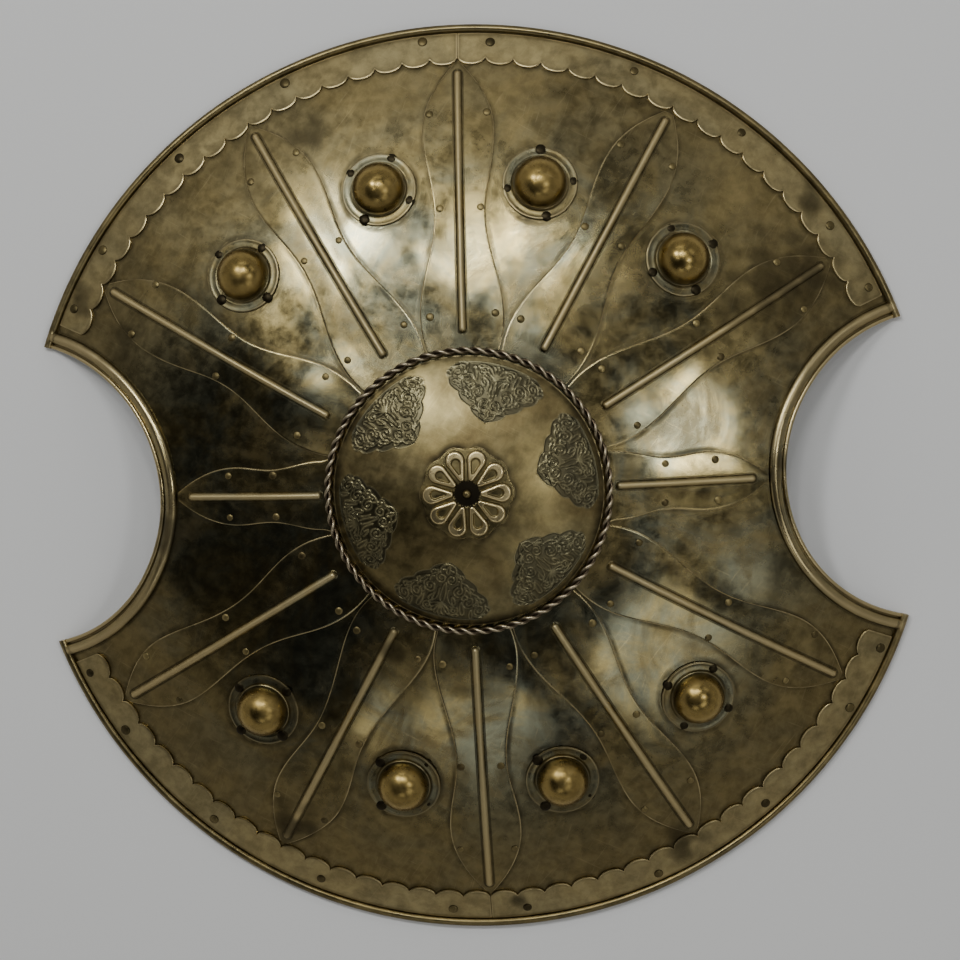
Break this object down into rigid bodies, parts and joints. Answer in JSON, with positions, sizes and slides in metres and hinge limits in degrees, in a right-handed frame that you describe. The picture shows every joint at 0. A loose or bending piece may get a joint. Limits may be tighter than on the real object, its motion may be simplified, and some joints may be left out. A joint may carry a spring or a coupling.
{
  "type": "hoplite shield",
  "caption": "Round domed brass shield with side notches, riveted leaf plates, domed studs, a scalloped border and a rope-edged centre boss; arm band and grip behind.",
  "frame": {"origin": "centre of the rim plane, on the surface that the shield lies on face up", "axes": "+Z out of the domed front, +Y towards the top of the shield, +X to the right as seen from the front; the notches are at +X and -X"},
  "size_m": [0.661, 0.7, 0.1107],
  "materials": {
    "field_brass": "antique satin with dark patina",
    "edging_brass": "antique satin, lighter",
    "leaf_brass": "antique satin with stains",
    "stud_brass": "polished, worn",
    "boss_brass": "antique satin, engraved",
    "wire_brass": "dark, bright on the crests",
    "strap_leather": "waxed"
  },
  "bodies": {
    "root": {"dish": "field_brass", "rim_band_upper_right": "edging_brass", "rim_band_upper_left": "edging_brass", "rim_band_lower_left": "edging_brass", "rim_band_lower_right": "edging_brass", "leaf_01": "leaf_brass", "leaf_02": "leaf_brass", "leaf_03": "leaf_brass", "leaf_04": "leaf_brass", "leaf_05": "leaf_brass", "leaf_06": "leaf_brass", "leaf_07": "leaf_brass", "leaf_08": "leaf_brass", "leaf_09": "leaf_brass", "leaf_10": "leaf_brass", "leaf_11": "leaf_brass", "leaf_12": "leaf_brass", "stud_boss_1": "stud_brass", "stud_boss_2": "stud_brass", "stud_boss_3": "stud_brass", "stud_boss_4": "stud_brass", "stud_boss_5": "stud_brass", "stud_boss_6": "stud_brass", "stud_boss_7": "stud_brass", "stud_boss_8": "stud_brass", "centre_boss": "boss_brass", "rope_ring": "wire_brass", "rosette": "boss_brass", "rosette_stud": "stud_brass", "arm_band": "strap_leather", "hand_grip": "strap_leather"}
  },
  "joints": []
}
